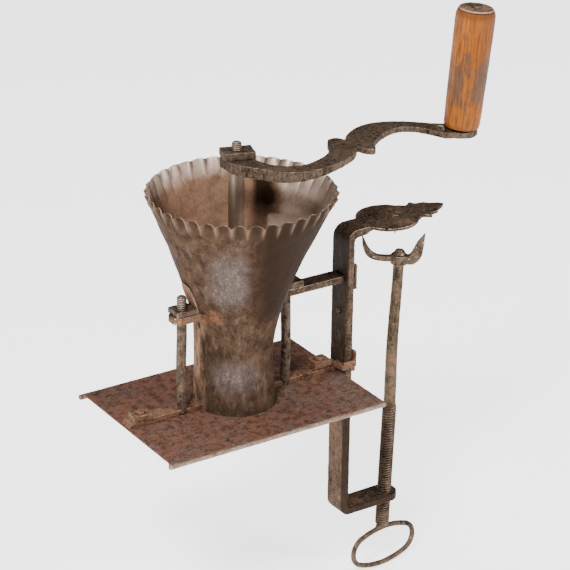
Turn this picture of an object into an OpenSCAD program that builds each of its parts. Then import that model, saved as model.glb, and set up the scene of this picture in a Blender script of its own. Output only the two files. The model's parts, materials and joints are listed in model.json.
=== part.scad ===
// Hand crank meat grinder: a fluted funnel on a waisted barrel, an upright worm
// turned by a flat forged crank, a base plate, and a C frame with a clamp screw
// that grips the edge of a table.
// Origin: on the shaft's axis, at the top face of the base plate. +X points along
// the strap to the clamp, +Z up. All sizes are in millimetres.

/* [Base plate] */
// Length of the base plate, along the strap
plate_len = 190.7; // [170:0.1:230]
// Width of the base plate, hem to hem
plate_w = 137; // [120:1:180]
// Thickness of the sheet iron of the plate
plate_t = 1.6; // [1:0.1:3]
// Outer radius of the hem rolled under each long edge
hem_r = 2.3; // [1.9:0.1:4]
// Radius of the hole under the barrel, where the meat comes out
outlet_r = 24; // [18:0.5:26]

/* [Barrel and funnel] */
// Wall thickness of the barrel and the funnel
wall_t = 1.6; // [1:0.1:2.4]
// Height of the lap joint between barrel and funnel
seam_z = 82; // [78:0.5:90]
// Height of the funnel's rim
rim_z = 171.5; // [150:0.5:200]
// Outer radius of the rim, to the tops of its flutes
rim_r = 73.2; // [65:0.5:85]

/* [Crank] */
// Height of the crank arm's top face
arm_z = 198; // [185:0.5:225]
// Thickness of the arm
arm_t = 5; // [4:0.5:7]
// Thickness of the arm's square boss on the shaft
boss_t = 9; // [7:0.5:12]
// Side of the square drive shaft
shaft_w = 10; // [8:0.5:11]
// Length of the wooden grip
grip_len = 92.4; // [80:1:120]
// Lean of the grip away from the shaft, in degrees
grip_lean = 5.1; // [0:0.1:8]

/* [Worm and knife] */
// Outer radius of the worm
worm_r = 26.2; // [20:0.1:26.4]
// Height that the worm climbs in one turn
worm_pitch = 34; // [26:1:45]
// Radius of the turning knife
knife_r = 26; // [20:0.5:28]
// Radius of the holes in the sieve
sieve_hole_r = 2; // [1.5:0.25:2.5]

/* [Clamp] */
// Width of the clamp frame's flat bar
bar_w = 21; // [16:0.5:26]
// Thickness of the clamp frame's flat bar
bar_t = 7.2; // [5:0.1:9]
// Height of the jaw's top face
jaw_z = 121; // [116:0.5:130]
// Thickness of the jaw plate
jaw_t = 3; // [2:0.5:4]
// Radius of the round jaw plate
jaw_r = 25; // [20:0.5:28]
// Depth of the frame's underside below the base plate's top
foot_z = -129.5; // [-150:1:-110]
// Outer radius of the screw's thread
screw_r = 6; // [5:0.05:7]
// Lean of the screw towards its top, in degrees
screw_lean = 1.97; // [0:0.05:2.5]
// Distance from the shaft's axis to the screw's hole in the foot
screw_x = 143.7; // [140:0.1:150]

/* [Hidden] */
$fn = 96;

gap = 0.3;            // between faces that turn past each other
run = 0.05;           // radial clearance of a turning pin in its hole

plate_x0 = -96.5;
hem_out = [1, 3.5];   // how far the front and back hems stand out at the left
upright_x = plate_x0 + plate_len;
upright_x1 = upright_x + bar_t;
plate_y = 0.8;        // the plate sits a little to the back of the shaft

strap_t = 4.2;
strap_y = 3.5;        // the strap is fastened a little to the back of the shaft
strap_w = 13;
strap_w_right = 10;
strap_x0 = -93;
strap_head = [4, 19, 8.6];   // end of the strap, spread outside the frame
left_bolt = [-83, 2.5];
right_bolt = [79.5, 4];
bolt_r = 3.6;
clip_t = 2.2;
strap_nut_t = 4.8;

left_rod_x = -47.6;
right_rod_x = 44.9;
rod_r = 3.95;
rod_pin_r = 2.6;
ear_z = 77;
ear_t = 6;
ear_w = 16;
tie_nut_t = 4.6;

journal_r = 5;
journal_z = 0.2;
sieve_t = 2.6;
sieve_z = strap_t;
knife_z = sieve_z + sieve_t + gap;
knife_t = 3.6;
worm_z = knife_z + knife_t;
worm_h = 62;
shaft_c = 1.6;        // chamfer on the shaft's corners
shaft_turn = 8;
tenon_side = 8;
stud_r = 3.9;
crank_nut_t = 6;
nut_shift = 0.8;      // the crank nut is cut off centre
nut_turn = -18;
stud_out = 5.4;       // stud above the crank nut

grip_x = 178.8;       // where the grip's axis crosses the arm's top face
grip_y = -35.8;
eye_r = 12.8;
grip_turn = atan2(grip_y, grip_x);
spindle_r = 4;
cap_t = 2.6;

jaw_x = 138;
jaw_under = jaw_z - jaw_t;
finial_x = 192.9;
spike_x = 146;
spike_r = 3;
spike_z = 104.5;
foot_t = 6.5;
hole_z = foot_z + foot_t / 2;
bend_in = 3;          // inside radius of the frame's upper bend
bend_low = 1;         // and of its lower bend

thread_bottom = -30.2;  // places along the screw's axis, from the middle of the foot
thread_top = 81;
shank_r = 4.7;
claw_s = 204;         // underside of the claw's eye
claw_eye_t = 8;
pin_r = 3.5;
ring_s = -48.6;       // middle of the ring handle
ring_shift = 2.6;     // and how far it lies beside the screw
ring_turn = 6;
ring_bar_r = 2.3;
ring_joint_lip = 0.05; // weld beads stand this far out of the bar
ring_half = 32.3;     // half of its length and height, at the bar's middle
ring_high = 16.9;
ring_end_r = 13.2;
ring_drop = (pow(ring_half - ring_end_r, 2) - pow(ring_high - ring_end_r, 2))
    / (2 * (ring_high - ring_end_r));

link_z = 77;
link_t = 6;
link_w = 14;
tenon_w = 8;
tenon_t = 5;
link_plate_z = [71, 92];
link_plate_t = 2.6;
rivet_z = 51;
rivet_r = 2.2;

iron = "#4b423b";
rusty = "#5d4138";
bright = "#6b6560";
timber = "#a0683a";

// Points of an arc
function arc(c, r, a0, a1, n = 12) =
    [for (i = [0:n]) let (a = a0 + (a1 - a0) * i / n) c + r * [cos(a), sin(a)]];

// A smooth curve through the points p, as a Catmull-Rom spline
function knot(p, i) = p[max(0, min(len(p) - 1, i))];
function blend(a, b, c, d, t) =
    0.5 * (2 * b + (c - a) * t + (2 * a - 5 * b + 4 * c - d) * t * t
    + (3 * b - a - 3 * c + d) * t * t * t);
function smooth(p, n = 4) = concat(
    [for (i = [0:len(p) - 2], k = [0:n - 1])
        blend(knot(p, i - 1), p[i], p[i + 1], knot(p, i + 2), k / n)],
    [p[len(p) - 1]]);

// A profile in the XZ plane, given a width along Y
module plate_xz(w) {
    rotate([90, 0, 0])
        translate([0, 0, -w / 2])
            linear_extrude(w)
                children();
}

// Moves a shape drawn on the Z axis to the leaning screw, from the middle of the foot
module on_screw() {
    translate([screw_x, 0, hole_z])
        rotate([0, screw_lean, 0])
            children();
}

// Moves a shape drawn on the Z axis to the leaning grip, from the arm's top face
module on_grip() {
    translate([grip_x, grip_y, arm_z])
        rotate([0, 0, grip_turn])
            rotate([0, grip_lean, 0])
                children();
}

// A square nut with its corners taken off above
module square_nut(size, t, hole_r) {
    difference() {
        intersection() {
            translate([-size.x / 2, -size.y / 2, 0])
                cube([size.x, size.y, t]);
            cylinder(h = t, r1 = norm(size) / 2 + t / 2, r2 = norm(size) / 2 - 0.8);
        }
        translate([0, 0, -1])
            cylinder(h = t + 2, r = hole_r);
    }
}

// ---- base ----

// Roll of a long edge, past the plate's left end by out
module plate_hem(side, out, r) {
    past = r < hem_r ? 1 : 0;
    translate([plate_x0 - out, plate_y + side * (plate_w / 2 - hem_r), -hem_r])
        rotate([0, 90, 0])
            cylinder(h = plate_len + out + past, r = r);
}

module base_plate() {
    color(rusty)
        difference() {
            union() {
                translate([plate_x0, plate_y - plate_w / 2 + hem_r, -plate_t])
                    cube([plate_len, plate_w - 2 * hem_r, plate_t]);
                plate_hem(-1, hem_out.x, hem_r);
                plate_hem(1, hem_out.y, hem_r);
            }
            plate_hem(-1, hem_out.x + 1, hem_r - 1.5);
            plate_hem(1, hem_out.y + 1, hem_r - 1.5);
            translate([0, 0, -plate_t - 1])
                cylinder(h = plate_t + 2, r = outlet_r);
            for (p = [left_bolt, right_bolt])
                translate([p.x, p.y, -plate_t - 1])
                    cylinder(h = plate_t + 2, r = bolt_r);
            for (x = [left_rod_x, right_rod_x])
                translate([x, 0, -plate_t - 1])
                    cylinder(h = plate_t + 2, r = rod_pin_r);
        }
}

// Flat bar over the plate, with an eye under the barrel that carries the shaft's foot
module base_strap() {
    color(rusty)
        difference() {
            union() {
                translate([0, strap_y + strap_w / 2, 0])
                    rotate([90, 0, 0])
                        linear_extrude(strap_w)
                            polygon([[strap_x0 - 3, 0], [0, 0], [0, strap_t],
                                [strap_x0 + 2, strap_t]]);
                translate([0, strap_y - strap_w_right / 2, 0])
                    cube([upright_x1 + 1, strap_w_right, strap_t]);
                translate([upright_x1, -strap_head.y / 2, -0.6])
                    cube(strap_head);
                cylinder(h = strap_t, r = 13);
            }
            translate([0, 0, -1])
                cylinder(h = strap_t + 2, r = journal_r + run);
            for (p = [left_bolt, right_bolt])
                translate([p.x, p.y, -1])
                    cylinder(h = strap_t + 2, r = bolt_r);
            for (x = [left_rod_x, right_rod_x])
                translate([x, 0, -1])
                    cylinder(h = strap_t + 2, r = rod_pin_r);
        }
}

// Height a strap bolt's nut sits at; the right one holds the corner clip as well
function nut_seat(p) = strap_t + (p == right_bolt ? clip_t : 0);

// Bolts with flat heads under the plate, one at each end of the strap
module strap_bolts() {
    color(iron)
        for (p = [left_bolt, right_bolt])
            translate([p.x, p.y, -plate_t]) {
                cylinder(h = plate_t + nut_seat(p) + strap_nut_t + 1.4, r = bolt_r);
                translate([-6, -6, -3])
                    cube([12, 12, 3]);
            }
}

module strap_nuts() {
    color(rusty) {
        translate([left_bolt.x, left_bolt.y, strap_t])
            rotate([0, 0, -8])
                square_nut([15.5, 12.5], strap_nut_t, bolt_r);
        translate([right_bolt.x, right_bolt.y, nut_seat(right_bolt)])
            square_nut([15.5, 14], strap_nut_t, bolt_r);
    }
}

// Strip held by the right nut; it runs past the frame's front corner, with its end
// turned up outside
module corner_clip() {
    y0 = -bar_w / 2 - 0.1;
    x0 = right_bolt.x - 8;
    tab_x = upright_x1 + 0.4;
    color(rusty)
        difference() {
            union() {
                translate([x0, strap_y - strap_w_right / 2, strap_t])
                    cube([upright_x - x0 - 0.2, strap_w_right, clip_t]);
                translate([0, 0, strap_t])
                    linear_extrude(4.5)
                        polygon([[upright_x - 6, 0], [upright_x - 0.2, 0],
                            [upright_x - 0.2, y0], [upright_x + 2, y0],
                            [upright_x + 2, y0 - clip_t], [upright_x - 3.5, y0 - clip_t]]);
                translate([upright_x - 2, y0 - clip_t, strap_t + 1])
                    cube([tab_x + clip_t - upright_x + 2, clip_t, 5.5]);
                translate([tab_x, y0 - clip_t, strap_t + 5])
                    cube([clip_t, 9, 9.5]);
            }
            translate([right_bolt.x, right_bolt.y, strap_t - 1])
                cylinder(h = clip_t + 2, r = bolt_r);
        }
}

// ---- barrel and funnel ----

barrel_out = smooth([[32.4, 0], [31.2, 7], [30, 20], [28.7, 36], [28.8, 47],
    [31.2, 62], [34.2, 74]], 3);
barrel_mouth = [36.2, seam_z];
funnel_out = smooth([barrel_mouth, [41.3, 97], [48.2, 115.5], [59.8, 143],
    [rim_r, rim_z]], 3);

// Outside of barrel and funnel as one body of revolution, grown by g
module body_of_revolution(g = 0) {
    rotate_extrude()
        polygon(concat([[0, 0]], [for (p = barrel_out) p + [g, 0]],
            [for (p = funnel_out) p + [g, 0]], [[0, rim_z]]));
}

module barrel() {
    inside = [for (i = [len(barrel_out) - 1:-1:0]) barrel_out[i] - [wall_t, 0]];
    color(bright)
        difference() {
            rotate_extrude()
                polygon(concat(barrel_out, [barrel_mouth, barrel_mouth - [wall_t, 0]],
                    inside));
            translate([-40, strap_y - strap_w / 2, -1])
                cube([40, strap_w, strap_t + 1]);
            translate([0, strap_y - strap_w_right / 2, -1])
                cube([40, strap_w_right, strap_t + 1]);
        }
}

module hopper() {
    lap = barrel_mouth.x - wall_t;
    skirt = barrel_out[len(barrel_out) - 1];
    inside = [for (i = [len(funnel_out) - 1:-1:1]) funnel_out[i] - [wall_t, 0]];
    color(bright)
        rotate_extrude()
            polygon(concat([[skirt.x - wall_t, skirt.y], [lap, seam_z]], funnel_out,
                inside, [[lap - wall_t, seam_z], [skirt.x - 2 * wall_t, skirt.y]]));
}

// Rounded tongue brazed to the funnel above an ear; it follows the cone
module palm() {
    intersection() {
        difference() {
            body_of_revolution(1.1);
            body_of_revolution();
        }
        rotate([90, 0, 90])
            linear_extrude(60)
                union() {
                    translate([-7, ear_z + ear_t - 1])
                        square([14, 18]);
                    translate([0, ear_z + ear_t + 17])
                        circle(r = 7);
                }
    }
}

module left_ear() {
    reach = -left_rod_x + 9.5;
    w = ear_w / 2;
    color(iron)
        union() {
            difference() {
                translate([0, 0, ear_z])
                    linear_extrude(ear_t)
                        polygon([[-20, -w], [-reach + 4, -w], [-reach, -w + 4],
                            [-reach, w - 4], [-reach + 4, w], [-20, w]]);
                body_of_revolution();
                translate([left_rod_x, 0, ear_z - 1])
                    cylinder(h = ear_t + 2, r = rod_r);
            }
            mirror([1, 0, 0])
                palm();
        }
}

// Bar from the funnel to the clamp frame, with a tenon through the frame
module upper_link() {
    color(iron)
        union() {
            difference() {
                translate([20, -link_w / 2, link_z])
                    cube([upright_x - 20, link_w, link_t]);
                body_of_revolution();
                translate([right_rod_x, 0, link_z - 1])
                    cylinder(h = link_t + 2, r = rod_r);
            }
            translate([upright_x - 1, -tenon_w / 2, link_z + (link_t - tenon_t) / 2])
                cube([bar_t + link_plate_t + 1.6, tenon_w, tenon_t]);
        }
}

module link_plate() {
    h = link_plate_z[1] - link_plate_z[0];
    color(iron)
        difference() {
            translate([upright_x1, -bar_w / 2, link_plate_z[0]])
                cube([link_plate_t, bar_w, h]);
            translate([upright_x1 - 1, -tenon_w / 2, link_z + (link_t - tenon_t) / 2])
                cube([link_plate_t + 2, tenon_w, tenon_t]);
        }
}

// Rod that ties an ear to the strap; its foot is riveted under the plate
module tie_rod(x, top) {
    translate([x, 0, 0]) {
        translate([0, 0, strap_t])
            cylinder(h = top - strap_t - 1, r = rod_r);
        translate([0, 0, top - 1])
            cylinder(h = 1, r1 = rod_r, r2 = rod_r - 0.9);
        translate([0, 0, -plate_t])
            cylinder(h = plate_t + strap_t, r = rod_pin_r);
        translate([0, 0, -plate_t - 1.6])
            cylinder(h = 1.6, r1 = 3.2, r2 = 4.6);
    }
}

module left_tie_rod() {
    color(iron)
        tie_rod(left_rod_x, 97);
}

module right_tie_rod() {
    color(iron)
        tie_rod(right_rod_x, 94);
}

// The right nut is cut close on the side next to the funnel
module tie_nuts() {
    color(iron)
        difference() {
            union() {
                translate([-55.5, -7.5, ear_z + ear_t])
                    cube([19.5, 15, tie_nut_t]);
                translate([38.9, -7, link_z + link_t])
                    cube([18, 14, tie_nut_t + 0.8]);
            }
            for (x = [left_rod_x, right_rod_x])
                translate([x, 0, ear_z])
                    cylinder(h = 20, r = rod_r);
            body_of_revolution(1.3);
        }
}

module sieve_plate() {
    r = barrel_out[3].x - wall_t - 0.3;
    color(iron)
        translate([0, 0, sieve_z])
            difference() {
                cylinder(h = sieve_t, r = r);
                translate([0, 0, -1])
                    cylinder(h = sieve_t + 2, r = journal_r + 0.5);
                for (ring = [1:3], k = [0:6 * ring + 2])
                    rotate([0, 0, 360 * k / (6 * ring + 3)])
                        translate([5 + 6 * ring, 0, -1])
                            cylinder(h = sieve_t + 2, r = sieve_hole_r, $fn = 24);
            }
}

// ---- clamp frame ----

// Upright with its two bends and the top bar, which thins into the jaw
module frame_side() {
    out = bend_in + bar_t;
    out_low = bend_low + bar_t;
    low = foot_z;
    top = jaw_z;
    polygon(concat(
        arc([upright_x + out_low, low + out_low], out_low, 180, 270),
        [[upright_x1 + 12, low], [upright_x1 + 12, low + foot_t]],
        arc([upright_x1 + bend_low, low + foot_t + bend_low], bend_low, 270, 180, 6),
        arc([upright_x1 + bend_in, top - bar_t - bend_in], bend_in, 180, 90, 6),
        [[jaw_x - 26, top - bar_t + 0.6], [jaw_x - 18, jaw_under],
            [jaw_x - 18, top]],
        arc([upright_x + out, top - out], out, 90, 180)));
}

// Round jaw with a pointed leaf at its end
module jaw_outline() {
    half = [[jaw_x + 14, 19], [jaw_x + 20, 15.5], [jaw_x + 26, 11.8], [jaw_x + 32.5, 16.2],
        [jaw_x + 34.2, 11.5], [jaw_x + 41.5, 10.6], [jaw_x + 45, 6.6], [jaw_x + 50, 4.2]];
    translate([jaw_x, 0])
        circle(r = jaw_r);
    polygon(concat(half, [[finial_x, 0]],
        [for (i = [len(half) - 1:-1:0]) [half[i].x, -half[i].y]]));
}

module clamp_frame() {
    color(iron)
        difference() {
            union() {
                plate_xz(bar_w)
                    frame_side();
                translate([0, 0, foot_z])
                    linear_extrude(foot_t)
                        union() {
                            translate([upright_x1 + 8, -bar_w / 2])
                                square([screw_x - upright_x1 - 8, bar_w]);
                            translate([screw_x, 0])
                                circle(r = bar_w / 2);
                        }
                translate([0, 0, jaw_under])
                    linear_extrude(jaw_t)
                        jaw_outline();
            }
            on_screw()
                cylinder(h = 30, r = screw_r + run, center = true);
            translate([upright_x - 1, -tenon_w / 2, link_z + (link_t - tenon_t) / 2])
                cube([bar_t + 2, tenon_w, tenon_t]);
            translate([upright_x - 1, strap_y - strap_w_right / 2, 0])
                cube([bar_t + 2, strap_w_right, strap_t]);
            translate([upright_x - 1, 0, rivet_z])
                rotate([0, 90, 0])
                    cylinder(h = bar_t + 2, r = rivet_r);
            translate([spike_x, 0, jaw_under - 1])
                cylinder(h = jaw_t + 2, r = spike_r);
        }
}

// Spike riveted into the jaw, which bites into the table
module jaw_spike() {
    color(iron)
        translate([spike_x, 0, 0]) {
            translate([0, 0, jaw_under])
                cylinder(h = jaw_t, r = spike_r);
            translate([0, 0, spike_z])
                cylinder(h = jaw_under - spike_z, r1 = 0.5, r2 = spike_r);
        }
}

module frame_rivet() {
    color(iron)
        translate([upright_x - 1.2, 0, rivet_z])
            rotate([0, 90, 0]) {
                cylinder(h = 1.2, r1 = 1.6, r2 = 3);
                cylinder(h = bar_t + 1.2, r = rivet_r);
            }
}

// ---- crank ----

// Square bar with chamfered corners, the section of the shaft and of its sockets
module shaft_bar(h) {
    w = shaft_w / 2;
    e = w - shaft_c;
    rotate([0, 0, shaft_turn])
        linear_extrude(h)
            polygon([[-e, -w], [e, -w], [w, -e], [w, e],
                [e, w], [-e, w], [-w, e], [-w, -e]]);
}

// Square tenon of the shaft inside the arm's boss
module shaft_tenon(h) {
    rotate([0, 0, shaft_turn])
        translate([-tenon_side / 2, -tenon_side / 2, 0])
            cube([tenon_side, tenon_side, h]);
}

module drive_shaft() {
    color(iron)
        union() {
            translate([0, 0, knife_z])
                shaft_bar(arm_z - boss_t - knife_z);
            translate([0, 0, journal_z])
                cylinder(h = knife_z - journal_z, r = journal_r);
            translate([0, 0, journal_z])
                cylinder(h = knife_z, r = shaft_w / 2 - 0.2);
            translate([0, 0, arm_z - boss_t - 1])
                shaft_tenon(boss_t + 1);
            translate([0, 0, arm_z - 1])
                cylinder(h = crank_nut_t + stud_out + 1, r = stud_r);
            translate([0, 0, arm_z + crank_nut_t + stud_out])
                cylinder(h = 0.8, r1 = stud_r, r2 = stud_r - 0.8);
        }
}

// Flight of the worm: a strip that climbs round the shaft, thicker at its root
module flight(r, h, pitch, root_t, edge_t) {
    steps = ceil(24 * h / pitch);
    climb = h - root_t;
    rows = [for (i = [0:steps])
        let (a = 360 * climb / pitch * i / steps, z = root_t / 2 + climb * i / steps)
        for (p = [[7, -root_t], [r, -edge_t], [r, edge_t], [7, root_t]])
            [p.x * cos(a), p.x * sin(a), z + p.y / 2]];
    sides = [for (i = [0:steps - 1], k = [0:3])
        let (a = 4 * i + k, b = 4 * i + (k + 1) % 4)
        each [[a, b, b + 4], [a, b + 4, a + 4]]];
    polyhedron(rows, concat(sides, [[3, 2, 1, 0],
        [for (k = [0:3]) 4 * steps + k]]));
}

// Worm: a sleeve on the shaft with one wide flight
module worm() {
    color(iron)
        translate([0, 0, worm_z])
            difference() {
                union() {
                    cylinder(h = worm_h, r = 8.5);
                    flight(worm_r, worm_h, worm_pitch, 4.5, 2.2);
                }
                translate([0, 0, -1])
                    shaft_bar(worm_h + 2);
            }
}

module turning_knife() {
    color(bright)
        translate([0, 0, knife_z])
            difference() {
                union() {
                    cylinder(h = knife_t, r = 10);
                    for (k = [0:3])
                        rotate([0, 0, 90 * k])
                            translate([0, -4, 0])
                                linear_extrude(knife_t)
                                    polygon([[5, 0], [knife_r, 1], [knife_r, 6], [5, 9]]);
                }
                translate([0, 0, -1])
                    shaft_bar(knife_t + 2);
            }
}

// Back and front edges of the arm, from the boss to the grip, as seen from above
arm_back = [[9.5, -6], [12, -20], [19.5, -31.5], [33, -37.3], [48, -34.5], [61, -28],
    [69, -19], [73, -10.5], [77.5, -4.5], [83, -3], [87, -5.5], [88.8, -10.5]];
arm_back_2 = [[88.8, -10.5], [95, -3.5], [107, 4.6], [121, 8.8], [135, 6.5], [149, -1],
    [160, -10.5], [169, -18.5], [178, -23.5]];
arm_front = [[-10, -7], [-7, -16], [2, -28], [10.5, -40], [22, -48.5], [41, -51.3],
    [63, -47], [77.5, -40], [85, -32.5], [88.5, -28]];
arm_front_2 = [[88.5, -28], [91.5, -35], [95.5, -38.8], [99.5, -36.5], [103, -29.5],
    [110, -22.8], [121, -15.5], [134, -10.8], [144, -12.5], [152, -20], [157.5, -31],
    [161.5, -39.5], [170, -43]];

function backwards(p) = [for (i = [len(p) - 1:-1:0]) p[i]];

module arm_outline() {
    polygon(concat([[-8.5, 9.5], [10, 8]], smooth(arm_back, 3), smooth(arm_back_2, 3),
        backwards(smooth(arm_front_2, 3)), backwards(smooth(arm_front, 3))));
    translate([grip_x, grip_y])
        circle(r = eye_r);
}

// Side of the arm: as thick as the boss at the shaft, thinner towards the grip
module arm_side() {
    polygon([[-20, arm_z], [-20, arm_z - boss_t], [14, arm_z - boss_t],
        [70, arm_z - arm_t], [grip_x + 20, arm_z - arm_t], [grip_x + 20, arm_z]]);
}

module crank_arm() {
    color(iron)
        difference() {
            union() {
                intersection() {
                    translate([0, 0, arm_z - boss_t])
                        linear_extrude(boss_t)
                            arm_outline();
                    plate_xz(140)
                        arm_side();
                }
                translate([0, 0, arm_z - boss_t])
                    linear_extrude(boss_t)
                        polygon([[-8.5, 9.5], [10, 8], [9.5, -9], [-9.5, -9.5]]);
            }
            translate([0, 0, arm_z - boss_t - 1])
                shaft_tenon(boss_t + 2);
            on_grip()
                cylinder(h = 30, r = spindle_r, center = true);
        }
}

module crank_nut() {
    color(iron)
        translate([nut_shift, 0, arm_z])
            rotate([0, 0, nut_turn])
                difference() {
                    translate([-12.25, -8.25, 0])
                        cube([24.5, 16.5, crank_nut_t]);
                    rotate([0, 0, -nut_turn])
                        translate([-nut_shift, 0, -1])
                            cylinder(h = crank_nut_t + 2, r = stud_r);
                }
}

// Pin that the grip turns on, riveted over the cap
module grip_spindle() {
    top = grip_len + 2 * gap + cap_t;
    color(iron)
        on_grip()
            union() {
                translate([0, 0, -arm_t + 1])
                    cylinder(h = arm_t - 1 + top, r = spindle_r);
                translate([0, 0, top])
                    cylinder(h = 0.8, r1 = 4.6, r2 = 3.6);
            }
}

module grip_cap() {
    bevel = 1.2;
    color(iron)
        on_grip()
            translate([0, 0, grip_len + 2 * gap])
                difference() {
                    union() {
                        cylinder(h = cap_t - bevel, r = 14);
                        translate([0, 0, cap_t - bevel])
                            cylinder(h = bevel, r1 = 13, r2 = 8);
                    }
                    translate([0, 0, -1])
                        cylinder(h = cap_t + 2, r = spindle_r);
                }
}

// Turned grip, cut level with the arm at its foot
module wooden_grip() {
    foot = 2.2;
    color(timber)
        on_grip()
            translate([0, 0, gap])
                rotate_extrude()
                    polygon([[spindle_r + run, 0.3], [11.6, 1.7], [12.6, foot], [13.6, 4.5],
                        [14.3, 20], [15, 60], [15.3, grip_len - 3],
                        [14.6, grip_len], [spindle_r + run, grip_len]]);
}

// ---- clamp screw and claw ----

claw_long = concat(smooth([[4, 2], [17, 3.4], [23.5, 5.6], [28.4, 11], [31, 24.9]], 3),
    backwards(smooth([[4, 7], [15, 7.4], [20.5, 9.6], [25, 15], [30, 24.9]], 3)));
claw_short = concat(smooth([[4, 1], [9, 0.5], [13.5, 2.2], [18.3, 10], [19.6, 27.6]], 3),
    backwards(smooth([[4, 7], [7.5, 7.6], [10, 11], [13.4, 18.5], [18.8, 27.6]], 3)));

// One arm of the claw: side is its outline seen from the side, as distance from the
// eye and height, and leaf is the width of its prong
module claw_arm(side, w, leaf) {
    rise = max([for (p = side) p.y]);
    reach = max([for (p = side) p.x]);
    intersection() {
        translate([0, leaf / 2, 0])
            rotate([90, 0, 0])
                linear_extrude(leaf)
                    polygon(side);
        rotate([90, 0, 90])
            linear_extrude(reach + 1)
                polygon([[-w / 2, -1], [w / 2, -1], [w / 2, 6], [leaf / 2, 11],
                    [leaf / 2, rise - 10], [0.8, rise], [-0.8, rise],
                    [-leaf / 2, rise - 10], [-leaf / 2, 11], [-w / 2, 6]]);
    }
}

module clamp_claw() {
    color(iron)
        on_screw()
            translate([0, 0, claw_s + gap])
                difference() {
                    union() {
                        cylinder(h = claw_eye_t, r = 6.8);
                        rotate([0, 0, 155])
                            claw_arm(claw_long, 6, 7);
                        rotate([0, 0, -40])
                            claw_arm(claw_short, 6.5, 11);
                    }
                    translate([0, 0, -1])
                        cylinder(h = claw_eye_t + 2, r = pin_r + run);
                }
}

module clamp_screw() {
    pin_top = claw_s + claw_eye_t + 2 * gap;
    rivet_h = 3.4;
    color(iron)
        on_screw()
            union() {
                translate([0, 0, thread_bottom])
                    cylinder(h = thread_top - thread_bottom, r = screw_r);
                translate([0, 0, thread_top])
                    cylinder(h = 4, r1 = screw_r, r2 = shank_r);
                translate([0, 0, thread_top + 4])
                    cylinder(h = claw_s - thread_top - 4, r = shank_r);
                translate([0, 0, claw_s])
                    cylinder(h = pin_top - claw_s, r = pin_r);
                translate([0, 0, pin_top])
                    cylinder(h = rivet_h, r1 = 5, r2 = 3.4);
            }
}

// Oval loop handle of four arcs, forged to the screw's foot
module screw_ring() {
    side_r = ring_high + ring_drop;
    turn = atan2(ring_half - ring_end_r, ring_drop);
    color(iron)
        on_screw()
            translate([ring_shift, 0, ring_s])
                rotate([0, 0, ring_turn])
                    rotate([90, 0, 0])
                        for (k = [0, 180])
                            rotate([0, 0, k]) {
                                ring_arc([ring_half - ring_end_r, 0], ring_end_r,
                                    turn - 90, 180 - 2 * turn);
                                ring_arc([0, -ring_drop], side_r, 90 - turn, 2 * turn);
                            }
}

// Arc of the loop's round bar, with a weld bead at its start that joins it to the next
module ring_arc(c, r, start, sweep) {
    translate(c)
        rotate([0, 0, start]) {
            rotate_extrude(angle = sweep)
                translate([r, 0])
                    circle(r = ring_bar_r, $fn = 24);
            translate([r, 0])
                sphere(r = ring_bar_r + ring_joint_lip, $fn = 24);
        }
}

base_plate();
base_strap();
strap_bolts();
strap_nuts();
corner_clip();
barrel();
hopper();
left_ear();
upper_link();
link_plate();
left_tie_rod();
right_tie_rod();
tie_nuts();
clamp_frame();
jaw_spike();
frame_rivet();
sieve_plate();
drive_shaft();
worm();
turning_knife();
crank_arm();
crank_nut();
grip_spindle();
grip_cap();
wooden_grip();
clamp_claw();
clamp_screw();
screw_ring();
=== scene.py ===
"""Hand crank meat grinder of wrought and sheet iron, with a turned wooden grip.

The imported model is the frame. Its forged pieces stay and get a hand-worked surface from
modifiers; the sheet, turned and threaded pieces are built here in millimetres.
"""
import json
from math import cos, exp, floor, hypot, pi, radians, sin

import bmesh
import bpy
from mathutils import Matrix, Vector, noise


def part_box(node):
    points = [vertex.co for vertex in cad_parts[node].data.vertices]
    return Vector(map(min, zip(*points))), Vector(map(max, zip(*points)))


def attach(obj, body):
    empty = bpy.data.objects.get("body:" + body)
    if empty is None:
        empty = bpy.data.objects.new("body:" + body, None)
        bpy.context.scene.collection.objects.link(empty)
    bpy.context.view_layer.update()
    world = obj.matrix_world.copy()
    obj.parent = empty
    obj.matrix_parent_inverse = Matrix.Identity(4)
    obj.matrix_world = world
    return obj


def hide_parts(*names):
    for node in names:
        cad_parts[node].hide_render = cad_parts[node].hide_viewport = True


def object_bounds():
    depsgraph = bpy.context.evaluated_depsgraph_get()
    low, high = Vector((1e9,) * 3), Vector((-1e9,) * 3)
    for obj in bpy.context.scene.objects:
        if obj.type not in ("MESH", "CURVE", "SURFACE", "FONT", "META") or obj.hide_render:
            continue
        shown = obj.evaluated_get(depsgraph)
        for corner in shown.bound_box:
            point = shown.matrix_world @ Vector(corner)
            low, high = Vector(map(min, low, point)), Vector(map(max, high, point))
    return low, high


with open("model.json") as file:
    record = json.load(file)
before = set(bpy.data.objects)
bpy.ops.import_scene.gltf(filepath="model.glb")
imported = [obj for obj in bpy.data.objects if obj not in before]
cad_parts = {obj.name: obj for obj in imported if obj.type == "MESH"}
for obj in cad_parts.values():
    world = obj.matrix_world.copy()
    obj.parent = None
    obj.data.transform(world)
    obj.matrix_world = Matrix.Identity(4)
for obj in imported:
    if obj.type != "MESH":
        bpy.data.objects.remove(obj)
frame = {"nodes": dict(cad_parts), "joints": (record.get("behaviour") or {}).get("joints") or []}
cad_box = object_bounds()

MM = 0.001
TURN = 2 * pi

# The funnel's fluted rim, in millimetres
FLUTES = 38
FLUTE_DEPTH = 2.3      # in and out
FLUTE_DROP = 2.0       # down between two tips
FLUTE_FADE = 16        # below the rim, where the flutes die out
RIM_TOP = 171.5
RIM_LEAN = 4.5         # how far the rim's middle lies beside the shaft
# Unit vector to the right, for somebody who faces the funnel from the camera's side
ASIDE_X, ASIDE_Y = 0.835, -0.550


# ---------------------------------------------------------------- shading

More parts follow.
